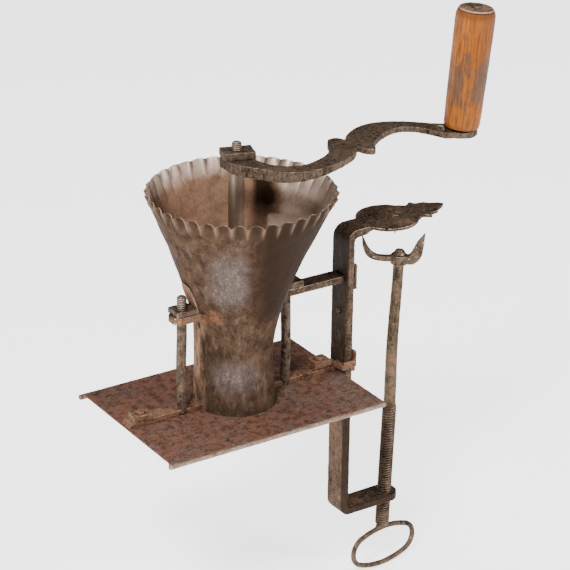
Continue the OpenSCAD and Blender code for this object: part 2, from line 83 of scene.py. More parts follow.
class Value:
    """What a socket gives, so that shader maths can be written as expressions."""

    def __init__(self, finish, socket):
        self.finish = finish
        self.socket = socket

    def maths(self, operation, a, b):
        return self.finish.node("Math", {"operation": operation}, {0: a, 1: b})

    def __add__(self, other):
        return self.maths("ADD", self, other)

    def __radd__(self, other):
        return self.maths("ADD", other, self)

    def __sub__(self, other):
        return self.maths("SUBTRACT", self, other)

    def __rsub__(self, other):
        return self.maths("SUBTRACT", other, self)

    def __mul__(self, other):
        return self.maths("MULTIPLY", self, other)

    def __rmul__(self, other):
        return self.maths("MULTIPLY", other, self)

    def __pow__(self, other):
        return self.maths("POWER", self, other)


class Finish:
    """One material, built node by node. Sizes of its patterns are in millimetres."""

    def __init__(self, name):
        self.material = bpy.data.materials.new(name)
        self.material.use_nodes = True
        self.tree = self.material.node_tree
        self.tree.nodes.clear()
        self.place = self.node("TexCoord", {}, {}, "Object")

    def node(self, kind, settings, values, out=0):
        made = self.tree.nodes.new("ShaderNode" + kind)
        for key, setting in settings.items():
            setattr(made, key, setting)
        for key, value in values.items():
            if isinstance(value, Value):
                self.tree.links.new(value.socket, made.inputs[key])
            else:
                made.inputs[key].default_value = value
        return Value(self, made.outputs[out])

    def stretched(self, x, y, z, place=None):
        """A place, by default that on the object, with its axes scaled."""
        return self.node("Mapping", {}, {"Vector": place or self.place, "Scale": (x, y, z)})

    def millimetres(self):
        return tuple(self.axis(i) * (1 / MM) for i in range(3))

    def cloud(self, size, detail=4.0, rough=0.55, warp=0.0, where=None):
        return self.node("TexNoise", {}, {
            "Vector": where or self.place, "Scale": 1 / (size * MM), "Detail": detail,
            "Roughness": rough, "Distortion": warp})

    def cells(self, size):
        return self.node("TexVoronoi", {}, {
            "Vector": self.place, "Scale": 1 / (size * MM)}, "Distance")

    def mask(self, value, low, high):
        return self.node("MapRange", {"interpolation_type": "SMOOTHSTEP"}, {
            "Value": value, "From Min": low, "From Max": high})

    def axis(self, index):
        return self.node("SeparateXYZ", {}, {0: self.place}, index)

    def edge(self, low, high):
        """Where the surface is convex, as at a worn edge."""
        return self.mask(self.node("NewGeometry", {}, {}, "Pointiness"), low, high)

    def mix(self, amount, a, b):
        return self.node("Mix", {"data_type": "RGBA"}, {0: amount, 6: a, 7: b}, 2)

    def bump(self, height, depth, strength=1.0):
        return self.node("Bump", {}, {
            "Height": height, "Distance": depth * MM, "Strength": strength})

    def close(self, **values):
        shader = self.node("BsdfPrincipled", {}, values)
        out = self.tree.nodes.new("ShaderNodeOutputMaterial")
        self.tree.links.new(shader.socket, out.inputs["Surface"])
        return self.material


def rgb(r, g, b):
    return (r, g, b, 1.0)


BLACK_SCALE = rgb(0.010, 0.006, 0.004)
BROWN_SCALE = rgb(0.052, 0.031, 0.020)
RED_RUST = rgb(0.130, 0.050, 0.030)
ORANGE_RUST = rgb(0.340, 0.135, 0.052)
BARE_IRON = rgb(0.40, 0.310, 0.238)
DULL_IRON = rgb(0.150, 0.106, 0.076)
SHADE_DARK = rgb(0.020, 0.011, 0.007)
RIM_HIGHLIGHT = rgb(0.42, 0.300, 0.215)
SHEEN = rgb(0.30, 0.26, 0.22)


def forged_iron(name, rust=0.5, wear=0.5, skin=BROWN_SCALE, darkening=None):
    """Dark iron with scale, rust in patches and bare metal on its edges. Its optional last
    argument, a function of the finish, gives where the colour is darkened: painted shade,
    and on the thread also a darker band."""
    f = Finish(name)
    broad = f.cloud(26, detail=4)
    blotch = f.cloud(6, detail=8, rough=0.68, warp=0.4)
    grain = f.cloud(1.5, detail=6, rough=0.7)
    brushed = f.cloud(2.4, detail=6, rough=0.68, where=f.stretched(1, 1, 0.22))
    pits = f.cells(1.9)
    edge = f.edge(0.506, 0.560)
    corner = f.edge(0.492, 0.440)
    dark_share = darkening(f) if darkening else 0.0
    rusty = f.mask(broad * 0.5 + blotch * 0.6, 0.72 - 0.3 * rust, 0.86 - 0.3 * rust)
    worn = f.mask(blotch * 0.5 + grain * 0.45 + brushed * 0.35 + edge * 0.55 - dark_share * 0.4,
                  0.98 - 0.3 * wear, 1.32 - 0.3 * wear)
    scale = f.mix(f.mask(blotch, 0.35, 0.65), BLACK_SCALE, skin)
    rust_colour = f.mix(f.mask(grain, 0.4, 0.7), RED_RUST, ORANGE_RUST)
    colour = f.mix(rusty * 0.75, scale, rust_colour)
    colour = f.mix(f.mask(grain * 0.6 + brushed * 0.5 + broad * 0.3, 0.58, 0.86) * 0.75,
                   colour, DULL_IRON)
    colour = f.mix(worn * 0.9, colour, BARE_IRON)
    colour = f.mix(corner * 0.8, colour, BLACK_SCALE)
    # Darkened where the given mask says: painted shade on the frame's bar and the thread's left
    # side, and a darker band on the thread
    if darkening:
        colour = f.mix(dark_share * 0.85, colour, SHADE_DARK)
    height = blotch * 0.5 + grain * 0.45 + f.mask(pits, 0.0, 0.35) * 0.25
    return f.close(**{
        "Base Color": colour, "Metallic": 0.42 + worn * 0.5 - rusty * 0.32 - dark_share * 0.42,
        "Roughness": 0.46 + rusty * 0.22 - worn * 0.12 + grain * 0.14, "Specular Tint": SHEEN,
        "Specular IOR Level": 0.05, "Normal": f.bump(height, 0.5, 1.0)})


def rusty_plate_finish(hem_y):
    """Sheet and bar iron under red-brown rust with darker mottling, paler scratches and a
    painted sheen of reflected light; the front hem, at y = hem_y, is polished by hands."""
    f = Finish("rusty_sheet")
    broad = f.cloud(30, detail=5, rough=0.6)
    blotch = f.cloud(6, detail=8, rough=0.66, warp=0.5)
    grain = f.cloud(1.6, detail=6, rough=0.72)
    scratch = f.cloud(2.4, detail=6, rough=0.7, where=f.stretched(0.35, 1, 1))
    x, y, _ = f.millimetres()
    edge = f.edge(0.508, 0.56)
    colour = f.mix(f.mask(broad + blotch * 0.5, 0.55, 0.95), rgb(0.150, 0.066, 0.044),
                   rgb(0.092, 0.052, 0.040))
    colour = f.mix(f.mask(blotch, 0.44, 0.62) * 0.85, colour, rgb(0.040, 0.020, 0.013))
    colour = f.mix(f.mask(grain, 0.46, 0.74) * 0.45, colour, rgb(0.28, 0.170, 0.120))
    # Paler scratches and a painted sheen of reflected light, a little more towards the front
    front = f.mask(y, 6, -40) * 0.04 + f.mask(x, 20, 80) * f.mask(y, 20, -30) * 0.05
    scratches_and_sheen = f.mask(broad * 0.35 + scratch * 0.50 + grain * 0.45 + front, 0.66, 0.92)
    colour = f.mix(scratches_and_sheen * 0.45, colour, rgb(0.40, 0.30, 0.245))
    hem = f.mask(y, hem_y + 4.0, hem_y + 0.8)
    worn = f.mask(edge * 0.5 + hem * 0.42 + blotch * 0.6 + scratch * 0.4, 0.84, 1.20)
    colour = f.mix(worn * 0.8, colour, rgb(0.34, 0.270, 0.215))
    height = blotch * 0.6 + grain * 0.5
    return f.close(**{
        "Base Color": colour, "Metallic": 0.20 + worn * 0.5 + scratches_and_sheen * 0.35,
        "Roughness": 0.52 - worn * 0.14 - scratches_and_sheen * 0.1 + grain * 0.14, "Specular Tint": SHEEN,
        "Specular IOR Level": 0.15, "Normal": f.bump(height, 0.65, 1.0)})


def worn_sheet_with_painted_light(name, low, high, inside=False, lit_left=0.0):
    """Thin sheet iron, brown where it was left alone, with a dull shine on its front between the
    heights low and high that is part rubbed metal and part painted reflection. It carries
    painted light and shade too; its last argument is how strong a painted brownish light on
    its left side is."""
    f = Finish(name)
    streak = f.cloud(5, detail=7, rough=0.70, where=f.stretched(1, 1, 0.4))
    blotch = f.cloud(11, detail=9, rough=0.74, warp=0.1)
    broad = f.cloud(38, detail=3)
    grain = f.cloud(1.9, detail=6, rough=0.76)
    facing_up = f.node("SeparateXYZ", {}, {0: f.node("NewGeometry", {}, {}, "Normal")}, 2)
    specks = f.cells(2.3)
    x, y, z = f.millimetres()
    across = x * ASIDE_X + y * ASIDE_Y
    turn = f.node("Math", {"operation": "ARCTAN2"}, {0: y, 1: x - RIM_LEAN}) * (FLUTES / 2)
    hollow = f.node("Math", {"operation": "COSINE"}, {0: turn})
    hollow = f.node("Math", {"operation": "ABSOLUTE"}, {0: hollow})
    rim_near = f.mask(z, RIM_TOP - 15, RIM_TOP - 3)
    edge = f.edge(0.515, 0.58)
    # Painted light and shade. Inside: shade is a painted shadow of the shaft and arm, with a
    #         fainter tail; glow and strip are painted light on the wall beside it; the polished
    #         patches are rubbed metal at the top and painted light across the right. Outside:
    #         shade is painted shade on the right side, and the polished front is partly a
    #         painted reflection.
    if inside:
        dark, brown = rgb(0.120, 0.068, 0.044), rgb(0.230, 0.130, 0.082)
        grey_iron, rub_top = rgb(0.58, 0.455, 0.380), f.mask(z, high - 24, high - 2) * 0.55
        # Rubbed metal near the top, and painted light across the right of the inner wall
        rub_and_light = rub_top + f.mask(across, 22, 38) * 0.5
        tilted = z - across * 0.12
        # Painted shadow of the shaft and arm on the inner wall, and its fainter tail
        shade = f.mask(across, 9, 15) * f.mask(across, 33, 22) * f.mask(tilted, 122, 142)
        tail = f.mask(across, 16, 26) * f.mask(tilted, 132, 139) * f.mask(tilted, 150, 142)
        shade = shade * f.mask(z, 168, 157) + tail * 0.5
        # Painted light: a strip beside the painted shadow and a patch further right, lower down
        strip = f.mask(across, 5, 8) * f.mask(across, 13.5, 10.5) * 0.6
        glow = f.mask(across, 17, 25) * f.mask(tilted, 135, 128)
        rusty = f.mask(broad * 0.6 + blotch * 0.5 - rub_and_light * 0.4, 0.70, 0.98)
    else:
        dark, brown = rgb(0.026, 0.016, 0.011), rgb(0.080, 0.047, 0.030)
        facing = f.mask(across, -34, -8) * f.mask(across, 32, 6)
        grey_iron = rgb(0.105, 0.082, 0.076)
        # Rubbed metal and a painted reflection on the side that faces the camera
        rub_and_light = facing * f.mask(z, low - 14, low + 14) * f.mask(z, high + 18, high - 16) * 0.5
        # Painted shade on the right side
        shade = f.mask(across, 2, 26) * f.mask(z, 60, 90)
        left = f.mask(x * -1 + y * 0.2, 8, 30) * f.mask(z, 110, 84) * f.mask(z, 64, 80)
        rusty = f.mask(broad * 0.5 + blotch * 0.6 + left * 0.30, 0.76, 1.02)
    colour = f.mix(f.mask(blotch * 0.7 + grain * 0.3, 0.36, 0.62), dark, brown)
    colour = f.mix(f.mask(streak, 0.48, 0.70) * 0.5, colour, rgb(0.150, 0.102, 0.074))
    # A painted brownish light on the left side
    if lit_left:
        tan = f.mask(across, -20, -27) * lit_left
        colour = f.mix(tan * f.mask(streak, 0.35, 0.6), colour, rgb(0.330, 0.205, 0.130))
    colour = f.mix(rusty * 0.8, colour, f.mix(f.mask(grain, 0.4, 0.65), RED_RUST, ORANGE_RUST))
    # Greyer and brighter where the sheet is rubbed and where painted light lies
    grey = f.mask(rub_and_light + blotch * 0.4 + streak * 0.35 - shade * 0.3, 0.50, 0.98)
    colour = f.mix(grey * 0.75, colour, grey_iron)
    bright = f.mask(rub_and_light * 0.42 + grain * 0.95 + streak * 0.5 + edge * 0.15 - shade * 0.5,
                    0.88, 1.32)
    bright = bright * f.mask(z, 1.5, 6)
    colour = f.mix(bright * 0.55, colour, rgb(0.42, 0.345, 0.29))
    colour = f.mix(f.mask(specks, 0.22, 0.05) * 0.6, colour, rgb(0.022, 0.013, 0.009))
    # Painted shade and shadow laid over everything
    colour = f.mix(shade * 0.96, colour, SHADE_DARK)
    if inside:
        # Painted light on the inner wall's lit patch and strip
        pale = f.mask(glow + strip + grain * 0.8, 1.05, 1.45)
        colour = f.mix(pale * 0.75, colour, rgb(0.52, 0.390, 0.310))
        # Flutes from inside: painted highlight on the ridges and painted shade in the grooves
        colour = f.mix(rim_near * hollow ** 2 * 0.65, colour, rgb(0.52, 0.400, 0.315))
        colour = f.mix(rim_near * (1 - hollow) ** 2 * 0.8, colour, rgb(0.060, 0.034, 0.022))
    else:
        # Flutes from outside: painted shade in the hollows and painted highlight on the ridges
        colour = f.mix(rim_near * f.mask(hollow, 0.45, 0.9) * 0.65, colour, dark)
        colour = f.mix(rim_near * (1 - hollow) ** 3 * 0.7, colour, rgb(0.24, 0.160, 0.110))
    # Painted highlight on the rim's top, which faces up
    colour = f.mix(rim_near * f.mask(facing_up, 0.60, 0.80) * 0.9, colour, RIM_HIGHLIGHT)
    height = blotch * 0.5 + grain * 0.45 + streak * 0.3
    return f.close(**{
        "Base Color": colour,
        "Metallic": 0.38 + grey * 0.3 + bright * 0.25 - rusty * 0.3 - shade * 0.38,
        "Roughness": 0.48 - grey * 0.08 - bright * 0.08 + rusty * 0.2 + grain * 0.12,
        "Specular Tint": SHEEN, "Specular IOR Level": 0.02,
        "Normal": f.bump(height, 0.45, 1.0)})


def wood_finish(axis_tilt, foot):
    """Turned hardwood with the grain along the grip and dark streaks of dirt. foot is
    the height of its lower end along its own axis."""
    f = Finish("turned_wood")
    along = f.node("VectorRotate", {"rotation_type": "EULER_XYZ", "invert": True},
                   {"Vector": f.place, "Rotation": axis_tilt})
    height = f.node("SeparateXYZ", {}, {0: along}, 2) * (1 / MM) - foot
    fibre = f.stretched(1, 1, 0.07, along)
    lines = f.cloud(1.6, detail=6, rough=0.66, where=fibre)
    bands = f.cloud(8, detail=3, warp=0.6, where=fibre)
    pores = f.cloud(0.7, detail=3, where=f.stretched(1, 1, 0.12, along))
    dirt = f.cloud(7, detail=8, rough=0.68, warp=0.8, where=f.stretched(1, 1, 0.30, along))
    middle = f.mask(height, 8, 32) * f.mask(height, 66, 46)
    ends = f.mask(height, 8, 1) + f.mask(height, 84, 91)
    colour = f.mix(f.mask(bands, 0.3, 0.7), rgb(0.130, 0.032, 0.004), rgb(0.285, 0.084, 0.009))
    colour = f.mix(f.mask(lines, 0.44, 0.64) * 0.7, colour, rgb(0.095, 0.024, 0.003))
    colour = f.mix(f.mask(dirt * 0.7 + lines * 0.3 + middle * 0.09, 0.52, 0.62) * 0.8, colour,
                   rgb(0.052, 0.036, 0.027))
    colour = f.mix(f.mask(pores, 0.56, 0.68) * 0.6, colour, rgb(0.030, 0.010, 0.003))
    colour = f.mix(f.mask(ends + lines * 0.5, 0.5, 1.3) * 0.7, colour, rgb(0.10, 0.030, 0.006))
    return f.close(**{
        "Base Color": colour, "Roughness": 0.46 + lines * 0.16 + dirt * 0.1,
        "Specular IOR Level": 0.28, "Specular Tint": rgb(0.9, 0.6, 0.4),
        "Normal": f.bump(lines * 0.6 + pores * 0.4 + dirt * 0.4, 0.35, 0.9)})


# ---------------------------------------------------------------- building

def rough(p, size, seed=0.0):
    """Smooth noise from -1 to 1 at a place in millimetres."""
    return noise.noise(Vector((p[0] / size + seed, p[1] / size - seed, p[2] / size)))


def piece(name, verts, faces, body, finish, slot, stands_for=()):
    """A named mesh piece, from places in millimetres, that rides on a body."""
    mesh = bpy.data.meshes.new(name)
    mesh.from_pydata([Vector(v) * MM for v in verts], [], faces)
    work = bmesh.new()
    work.from_mesh(mesh)
    bmesh.ops.remove_doubles(work, verts=work.verts, dist=1e-7)
    bmesh.ops.recalc_face_normals(work, faces=work.faces)
    work.to_mesh(mesh)
    work.free()
    mesh.materials.append(finish)
    mesh.shade_smooth()
    obj = bpy.data.objects.new(name, mesh)
    bpy.context.scene.collection.objects.link(obj)
    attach(obj, body)
    if stands_for:
        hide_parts(*stands_for)
    return obj


def line_inside(obj, finish):
    """A second finish on the faces that look towards the upright axis."""
    obj.data.materials.append(finish)
    for face in obj.data.polygons:
        if face.normal.x * face.center.x + face.normal.y * face.center.y < 0:
            face.material_index = 1


def soften(obj, angle):
    """Shades corners sharper than an angle as corners."""
    obj.data.set_sharp_from_angle(angle=radians(angle))


def skin(rings, capped=True, looped=False):
    """Joins rings of points into a tube, closed at its ends or back on itself."""
    n = len(rings[0])
    verts = [p for ring in rings for p in ring]
    faces = []
    rows = len(rings) if looped else len(rings) - 1
    for i in range(rows):
        a, b = i * n, (i + 1) % len(rings) * n
        faces += [(a + k, a + (k + 1) % n, b + (k + 1) % n, b + k) for k in range(n)]
    if capped and not looped:
        faces += [tuple(range(n - 1, -1, -1)), tuple(range(a + n, a + 2 * n))]
    return verts, faces


def turned(profile, steps, centre=(0, 0), shape=None):
    """Points of a closed outline (radius, height), turned about an upright axis.
    shape(point, angle) may move each point."""
    rings = []
    for k in range(steps):
        a = TURN * k / steps
        ring = []
        for r, z in profile:
            p = Vector((centre[0] + r * cos(a), centre[1] + r * sin(a), z))
            ring.append(shape(p, a) if shape else p)
        rings.append(ring)
    return skin(rings, looped=True)


def rod(place, radius, length, step, sides=32):
    """A round rod along place(s), whose radius(s, angle) varies."""
    count = round(length / step)
    rings = []
    for i in range(count + 1):
        s = length * i / count
        centre = Vector(place(s))
        rings.append([centre + Vector((cos(a), sin(a), 0)) * radius(s, a)
                      for a in (TURN * k / sides for k in range(sides))])
    return skin(rings)


def thread(s, a, pitch, depth):
    """How far a right-handed V thread lies below its crest."""
    turn = s / pitch - a / TURN
    return depth * abs(2 * (turn - floor(turn)) - 1) ** 0.8


def ease(t):
    """From 0 to 1 as t goes from 0 to 1, level at both ends."""
    t = max(0.0, min(1.0, t))
    return t * t * (3 - 2 * t)


def curve_through(points, t):
    """Radius at height t, on straight stretches through points (height, radius)."""
    for (a, ra), (b, rb) in zip(points, points[1:]):
        if t <= b:
            return ra + (rb - ra) * (t - a) / (b - a)
    return points[-1][1]


def clouds(name, size):
    """Cloudy texture for dents, with patches of a size in millimetres."""
    made = bpy.data.textures.new(name, "CLOUDS")
    made.noise_scale = size * MM
    made.noise_depth = 2
    return made


HAMMER = clouds("hammer_marks", 7)
SCALE_PITS = clouds("scale_pits", 1.8)


def forge(node, finish, grain=0.5, hammer=0.35, pits=0.12, smooth=3):
    """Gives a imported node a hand-forged surface: soft edges, hammer marks and pits."""
    obj = frame["nodes"][node]
    obj.data.materials.clear()
    obj.data.materials.append(finish)
    remesh = obj.modifiers.new("even", "REMESH")
    remesh.mode = "VOXEL"
    remesh.voxel_size = grain * MM
    remesh.use_smooth_shade = True
    relax = obj.modifiers.new("soft_edges", "SMOOTH")
    relax.factor = 0.5
    relax.iterations = smooth
    for texture, depth in ((HAMMER, hammer), (SCALE_PITS, pits)):
        dent = obj.modifiers.new(texture.name, "DISPLACE")
        dent.texture = texture
        dent.texture_coords = "LOCAL"
        dent.mid_level = 1.0
        dent.strength = depth * MM


def plain(node, finish):
    """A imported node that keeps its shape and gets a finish."""
    obj = frame["nodes"][node]
    obj.data.materials.clear()
    obj.data.materials.append(finish)


def spun(x, y, a):
    """A point in the level plane, turned about the origin."""
    return x * cos(a) - y * sin(a), x * sin(a) + y * cos(a)


def low_mm(node):
    """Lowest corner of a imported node, in millimetres; high_mm gives the highest."""
    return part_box(node)[0] / MM


def high_mm(node):
    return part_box(node)[1] / MM


def joint(name):
    return next(j for j in frame["joints"] if j["name"] == name)


# ---------------------------------------------------------------- finishes

upright_lo = low_mm("clamp_frame")


def shaded_frame(f):
    """Painted shade on the bar's inner face above the plate, where the funnel shades it, and a
    painted shadow of the plate on its side below.
    """
    x, y, z = f.millimetres()
    inner = f.mask(x, upright_lo.x + 3.0, upright_lo.x + 1.0) * f.mask(z, -8, 4)
    inner = inner * (1 - f.mask(z, 80, 30) * 0.45)
    side = f.mask(y, -8.0, -9.6) * f.mask(z, 0, -8)
    return inner + side


def shaded_thread(f):
    """The thread a little darker, and darker still on its left side, which is painted shade."""
    x, _, z = f.millimetres()
    return f.mask(z, -36, -48) * (0.42 + f.mask(x - z * 0.034, 147.5, 144.5) * 0.25)


IRON = forged_iron("forged_iron", rust=0.35, wear=0.55)
RUSTY_IRON = forged_iron("forged_iron_rusty", rust=0.95, wear=0.42)
FRAME_IRON = forged_iron("frame_iron", rust=0.50, wear=0.52, darkening=shaded_frame)
ARM_IRON = forged_iron("arm_iron", rust=0.15, wear=0.60, skin=rgb(0.072, 0.048, 0.032))
SHAFT_IRON = forged_iron("shaft_iron", rust=0.45, wear=1.0, skin=rgb(0.260, 0.165, 0.100))
CAP_IRON = forged_iron("cap_iron", rust=0.80, wear=0.15)
ROD_IRON = forged_iron("rod_iron", rust=0.30, wear=0.80, skin=rgb(0.115, 0.078, 0.052))
THREAD_IRON = forged_iron("thread_iron", rust=0.45, wear=0.70, skin=rgb(0.100, 0.066, 0.040),
                          darkening=shaded_thread)
SHEET = rusty_plate_finish(low_mm("base_plate").y)
FUNNEL = worn_sheet_with_painted_light("funnel_sheet", 92, 146)
FUNNEL_INSIDE = worn_sheet_with_painted_light("funnel_inside", 80, 172, inside=True)
BARREL = worn_sheet_with_painted_light("barrel_sheet", 16, 44, lit_left=0.8)
CUTTING = forged_iron("cutting_iron", rust=0.2, wear=0.7)


# ---------------------------------------------------------------- funnel and barrel

WALL = 1.5
rim = high_mm("hopper")
seam_z = high_mm("barrel").z
FUNNEL_LINE = [(74, 34.3), (seam_z, 36.3), (97, 41.3), (115.5, 48.2), (143, 59.8),
               (rim.z, rim.y)]
BARREL_LINE = [(0, 32.4), (7, 31.2), (20, 30.0), (36, 28.8), (47, 28.9), (62, 31.2),
               (74, 34.2), (86, 37.0)]
SEAM_LOW = radians(130)    # direction in which the lap joint's line is lowest


def seam_height(a):
    return seam_z + 0.1 - 0.5 * cos(a - SEAM_LOW)


def smooth_line(points, z):
    """The line through the points, rounded by averaging it over a short stretch."""
    return sum(curve_through(points, z + d) for d in (-6, -3, 0, 3, 6)) / 5


# The sheet swells under the left ear's tongue
EAR_SWELL, EAR_HEIGHT = 1.1, 97


def crease(a):
    """The fluted rim: round hollows between sharper ridges, from -1 to 1."""
    return 1 - 2 * abs(cos(FLUTES * a / 2)) ** 0.85


def funnel_point(z_share, a, inside):
    z0 = seam_height(a)
    z = z0 + (rim.z - z0) * z_share
    fade = FLUTE_FADE * (1.6 if inside else 1.0)
    fade *= 1 + 0.25 * rough((cos(a) * 6, sin(a) * 6, 8), 1.0)
    crimp = ease((z - (rim.z - fade)) / fade) ** 1.3
    wave = crease(a)
    strength = 1 + 0.40 * rough((cos(a) * 9, sin(a) * 9, 2), 1.0)
    r = smooth_line(FUNNEL_LINE, z) if z < rim.z - 6 else curve_through(FUNNEL_LINE, z)
    p = Vector((r * cos(a), r * sin(a), z))
    r += 0.55 * rough(p, 19) + 0.25 * rough(p, 7) - 0.5
    r += crimp * FLUTE_DEPTH * strength * (wave * 0.5 - 0.4)
    beside = ((a - pi) * r / 13) ** 2 + ((z - EAR_HEIGHT) / 15) ** 2
    r += EAR_SWELL * exp(-beside * beside)
    r = min(r, rim.y - 0.05)
    drop = FLUTE_DROP * strength * (wave + 1) / 2 * crimp * z_share ** 6
    drop += 0.3 * rough((cos(a) * 30, sin(a) * 30, 5), 1.0) * z_share ** 12
    if inside:
        r -= WALL * (1 - 0.45 * z_share)
    lean = RIM_LEAN * max(0.0, (z - seam_z) / (rim.z - seam_z))
    return Vector((r * cos(a) + lean, r * sin(a), z - max(0.0, drop)))


rows = [0.0, 0.004] + [i / 44 for i in range(1, 45)]
rings = []
steps = FLUTES * 16
for k in range(steps):
    a = TURN * k / steps
    rings.append([funnel_point(t, a, False) for t in rows]
                 + [funnel_point(t, a, True) for t in reversed(rows)])
funnel = piece("funnel", *skin(rings, looped=True), "frame", FUNNEL, "worn_sheet", ["hopper"])
line_inside(funnel, FUNNEL_INSIDE)
soften(funnel, 50)

LAP_ANGLE = radians(181)   # edge of the sheet that laps over the barrel's side
SEAM_LIP = 0.6             # how far the barrel's mouth flares at the lap joint
NOTCH, NOTCH_WIDE, NOTCH_DEEP = radians(252), radians(1.5), 1.9
BARREL_TOP = 86


def barrel_point(z, a, inside):
    p = Vector((cos(a), sin(a), 0)) * 30 + Vector((0, 0, z))
    r = smooth_line(BARREL_LINE, z) + 0.4 * rough(p, 16) + 0.2 * rough(p, 6) - 0.5
    if inside:
        r -= WALL
    else:
        r += SEAM_LIP * ease((z - seam_z + 9) / 9)
        past_lap = (LAP_ANGLE - a) % TURN
        cover = 1 - ease((past_lap - 0.75) / 0.45)
        r += cover * (0.6 + 0.85 * max(0.0, 32.0 - r)) * ease((seam_z - z) / 14)
    return Vector((r * cos(a), r * sin(a), z))


rings = []
heights = [0.05] + [i * BARREL_TOP / 48 for i in range(1, 49)]
angles = sorted([TURN * k / 240 for k in range(240)] + [LAP_ANGLE - 1e-4, LAP_ANGLE + 1e-4])
for a in angles:
    notch = NOTCH_DEEP * exp(-((a - NOTCH) / NOTCH_WIDE) ** 2)
    ragged = 0.35 * rough((cos(a) * 12, sin(a) * 12, 3), 1.0)
    tall = [min(z, seam_height(a) + 1.4 + ragged - notch) for z in heights]
    rings.append([barrel_point(z, a, False) for z in tall]
                 + [barrel_point(z, a, True) for z in reversed(tall)])
barrel = piece("barrel_shell", *skin(rings, looped=True), "frame", BARREL, "worn_sheet",
               ["barrel"])
line_inside(barrel, FUNNEL_INSIDE)
soften(barrel, 40)


# ---------------------------------------------------------------- rods and threads

PLATE, STRAP_TOP = 1.6, 4.2
ROD_R, TENON_R, RIVET_R = 3.88, 2.55, 4.4
BOLT_PITCH, BOLT_DEPTH = 1.5, 0.6


def upright_rod(name, node, bend, thread_from):
    """A tie rod: riveted foot, slightly bent shank and a threaded top."""
    lo, hi = low_mm(node), high_mm(node)
    centre = (lo + hi) / 2
    length = hi.z - lo.z

    def place(s):
        sway = bend * sin(pi * ease((s - 5) / (length - 30)))
        return (centre.x + sway, centre.y, lo.z + s)

    def radius(s, a):
        z = lo.z + s
        if z < -PLATE:
            return RIVET_R - 0.9 * ease((z - lo.z) / PLATE)
        if z < STRAP_TOP:
            return TENON_R
        p = Vector((ROD_R * cos(a), ROD_R * sin(a), s))
        worn = ROD_R + 0.12 * rough(p, 5, 3)
        if z > thread_from:
            worn = ROD_R - thread(z, a, BOLT_PITCH, BOLT_DEPTH)
        return worn - 0.8 * ease((z - hi.z + 1.2) / 1.2)

    verts, faces = rod(place, radius, length, 0.19, 28)
    return piece(name, verts, faces, "frame", ROD_IRON, "forged_iron", [node])


upright_rod("left_rod", "left_tie_rod", -0.9, 86)
upright_rod("right_rod", "right_tie_rod", 0.5, 86)

SCREW_AXIS = Vector(joint("screw_spin")["axis"])
SCREW_FOOT = Vector(joint("screw_spin")["pos_m"]) / MM
SCREW_PITCH, CREST_R, THREAD_DEPTH = 2.2, 5.97, 1.15
# Distances along the screw, from the middle of the frame's foot
ROD_FROM = -30.2
THREAD_FROM, THREAD_TO = -27.0, 81.0
PIN_FROM, PIN_R = 204.0, 3.5
HEAD_FROM, HEAD_TOP, HEAD_R = 212.6, 216.0, 4.9
FOOT_R = 4.6
SHANK_R = (4.95, 4.35)


def screw_radius(s, a):
    """Drawn-out foot, thread, tapering shank, pin through the claw and riveted head."""
    z = ROD_FROM + s
    p = Vector((5 * cos(a), 5 * sin(a), z))
    if z > HEAD_FROM:
        up = (z - HEAD_FROM) / (HEAD_TOP - HEAD_FROM)
        return (HEAD_R + 0.4 * cos(4 * a)) * max(0.3, 1 - up ** 2) ** 0.4
    if z > PIN_FROM:
        return PIN_R
    along = (z - THREAD_TO) / (PIN_FROM - THREAD_TO)
    shank = SHANK_R[0] + (SHANK_R[1] - SHANK_R[0]) * ease(along)
    shank += 0.16 * rough(p, 6) + 0.1 * rough(p, 22) - 0.1
    body = CREST_R - thread(z, a, SCREW_PITCH, THREAD_DEPTH)
    share = ease((z - THREAD_TO + 2.5) / 5)
    foot = ease((THREAD_FROM - z) / 2)
    return (body * (1 - share) + shank * share) * (1 - foot) + FOOT_R * foot


BOW, BOW_FROM = 1.3, 70.0


def on_screw(s):
    """The rod's middle line, slightly bowed between its thread and the claw."""
    bow = BOW * sin(pi * ease((ROD_FROM + s - BOW_FROM) / (PIN_FROM - BOW_FROM)))
    return SCREW_FOOT + SCREW_AXIS * (ROD_FROM + s) - Vector((bow, 0, 0))


verts, faces = rod(on_screw, screw_radius, HEAD_TOP - ROD_FROM, 0.3, 36)
piece("screw_rod", verts, faces, "screw", THREAD_IRON, "forged_iron", ["clamp_screw"])


NECK_FROM, NECK_TO = -26.5, -33.0
NECK_R, NECK_SPREAD, NECK_THINNING = 4.7, 6.8, 2.6
NECK_SAG = 0.012       # how fast its lower edge falls away to the sides
NECK_TURN = radians(6)


def neck_ring(share):
    """A section of the screw's foot, drawn out wide and thin to meet the ring."""
    s = NECK_FROM + (NECK_TO - NECK_FROM) * share
    wide = NECK_R + NECK_SPREAD * share ** 2.2
    deep = NECK_R - NECK_THINNING * ease(share)
    centre = SCREW_FOOT + SCREW_AXIS * s
    ring = []
    for k in range(32):
        a = TURN * k / 32
        x, y = wide * cos(a), deep * sin(a)
        ring.append(centre + Vector((*spun(x, y, NECK_TURN), -NECK_SAG * x * x)))
    return ring


piece("ring_neck", *skin([neck_ring(k / 14) for k in range(15)]), "screw", ROD_IRON,
      "forged_iron")


# ---------------------------------------------------------------- shaft

shaft_lo, shaft_hi = low_mm("drive_shaft"), high_mm("drive_shaft")
arm_top = low_mm("crank_nut").z
STUD_R = 3.7
JOURNAL_R, JOURNAL_H = 4.95, 9.9
BOSS = 9
SHAFT_TURN = radians(8)


